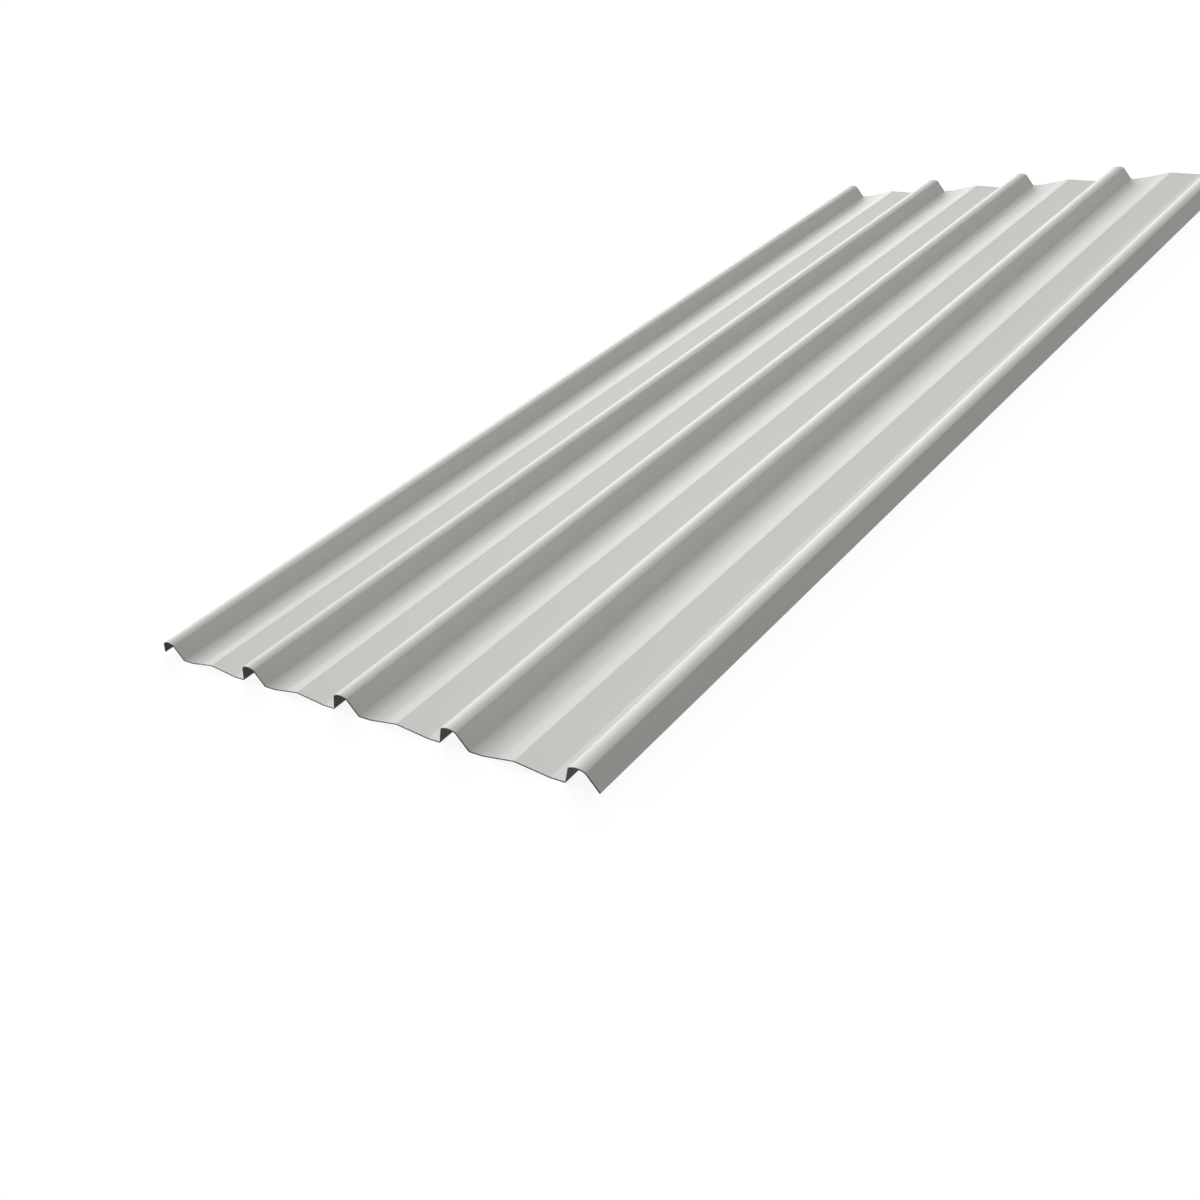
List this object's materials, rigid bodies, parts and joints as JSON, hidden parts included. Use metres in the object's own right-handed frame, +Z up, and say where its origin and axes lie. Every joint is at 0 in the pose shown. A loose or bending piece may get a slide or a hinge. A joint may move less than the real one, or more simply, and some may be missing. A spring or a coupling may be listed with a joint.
{
  "type": "corrugated metal sheet",
  "caption": "Roof and wall sheet rolled from painted steel, with rounded trapezoidal ribs, a shallow ridge along each pan and side ribs that lap.",
  "frame": {"origin": "under the middle of the sheet, level with the underside of its pans", "axes": "+Y along the ribs, +Z up through the weather side, +X from the short lapped leg to the full lapping web"},
  "size_m": [0.8064, 1.8, 0.0254],
  "materials": {
    "painted_sheet": "satin light grey paint above, dark grey backing coat beneath"
  },
  "bodies": {
    "root": {"ribbed_sheet": "painted_sheet"}
  },
  "joints": []
}
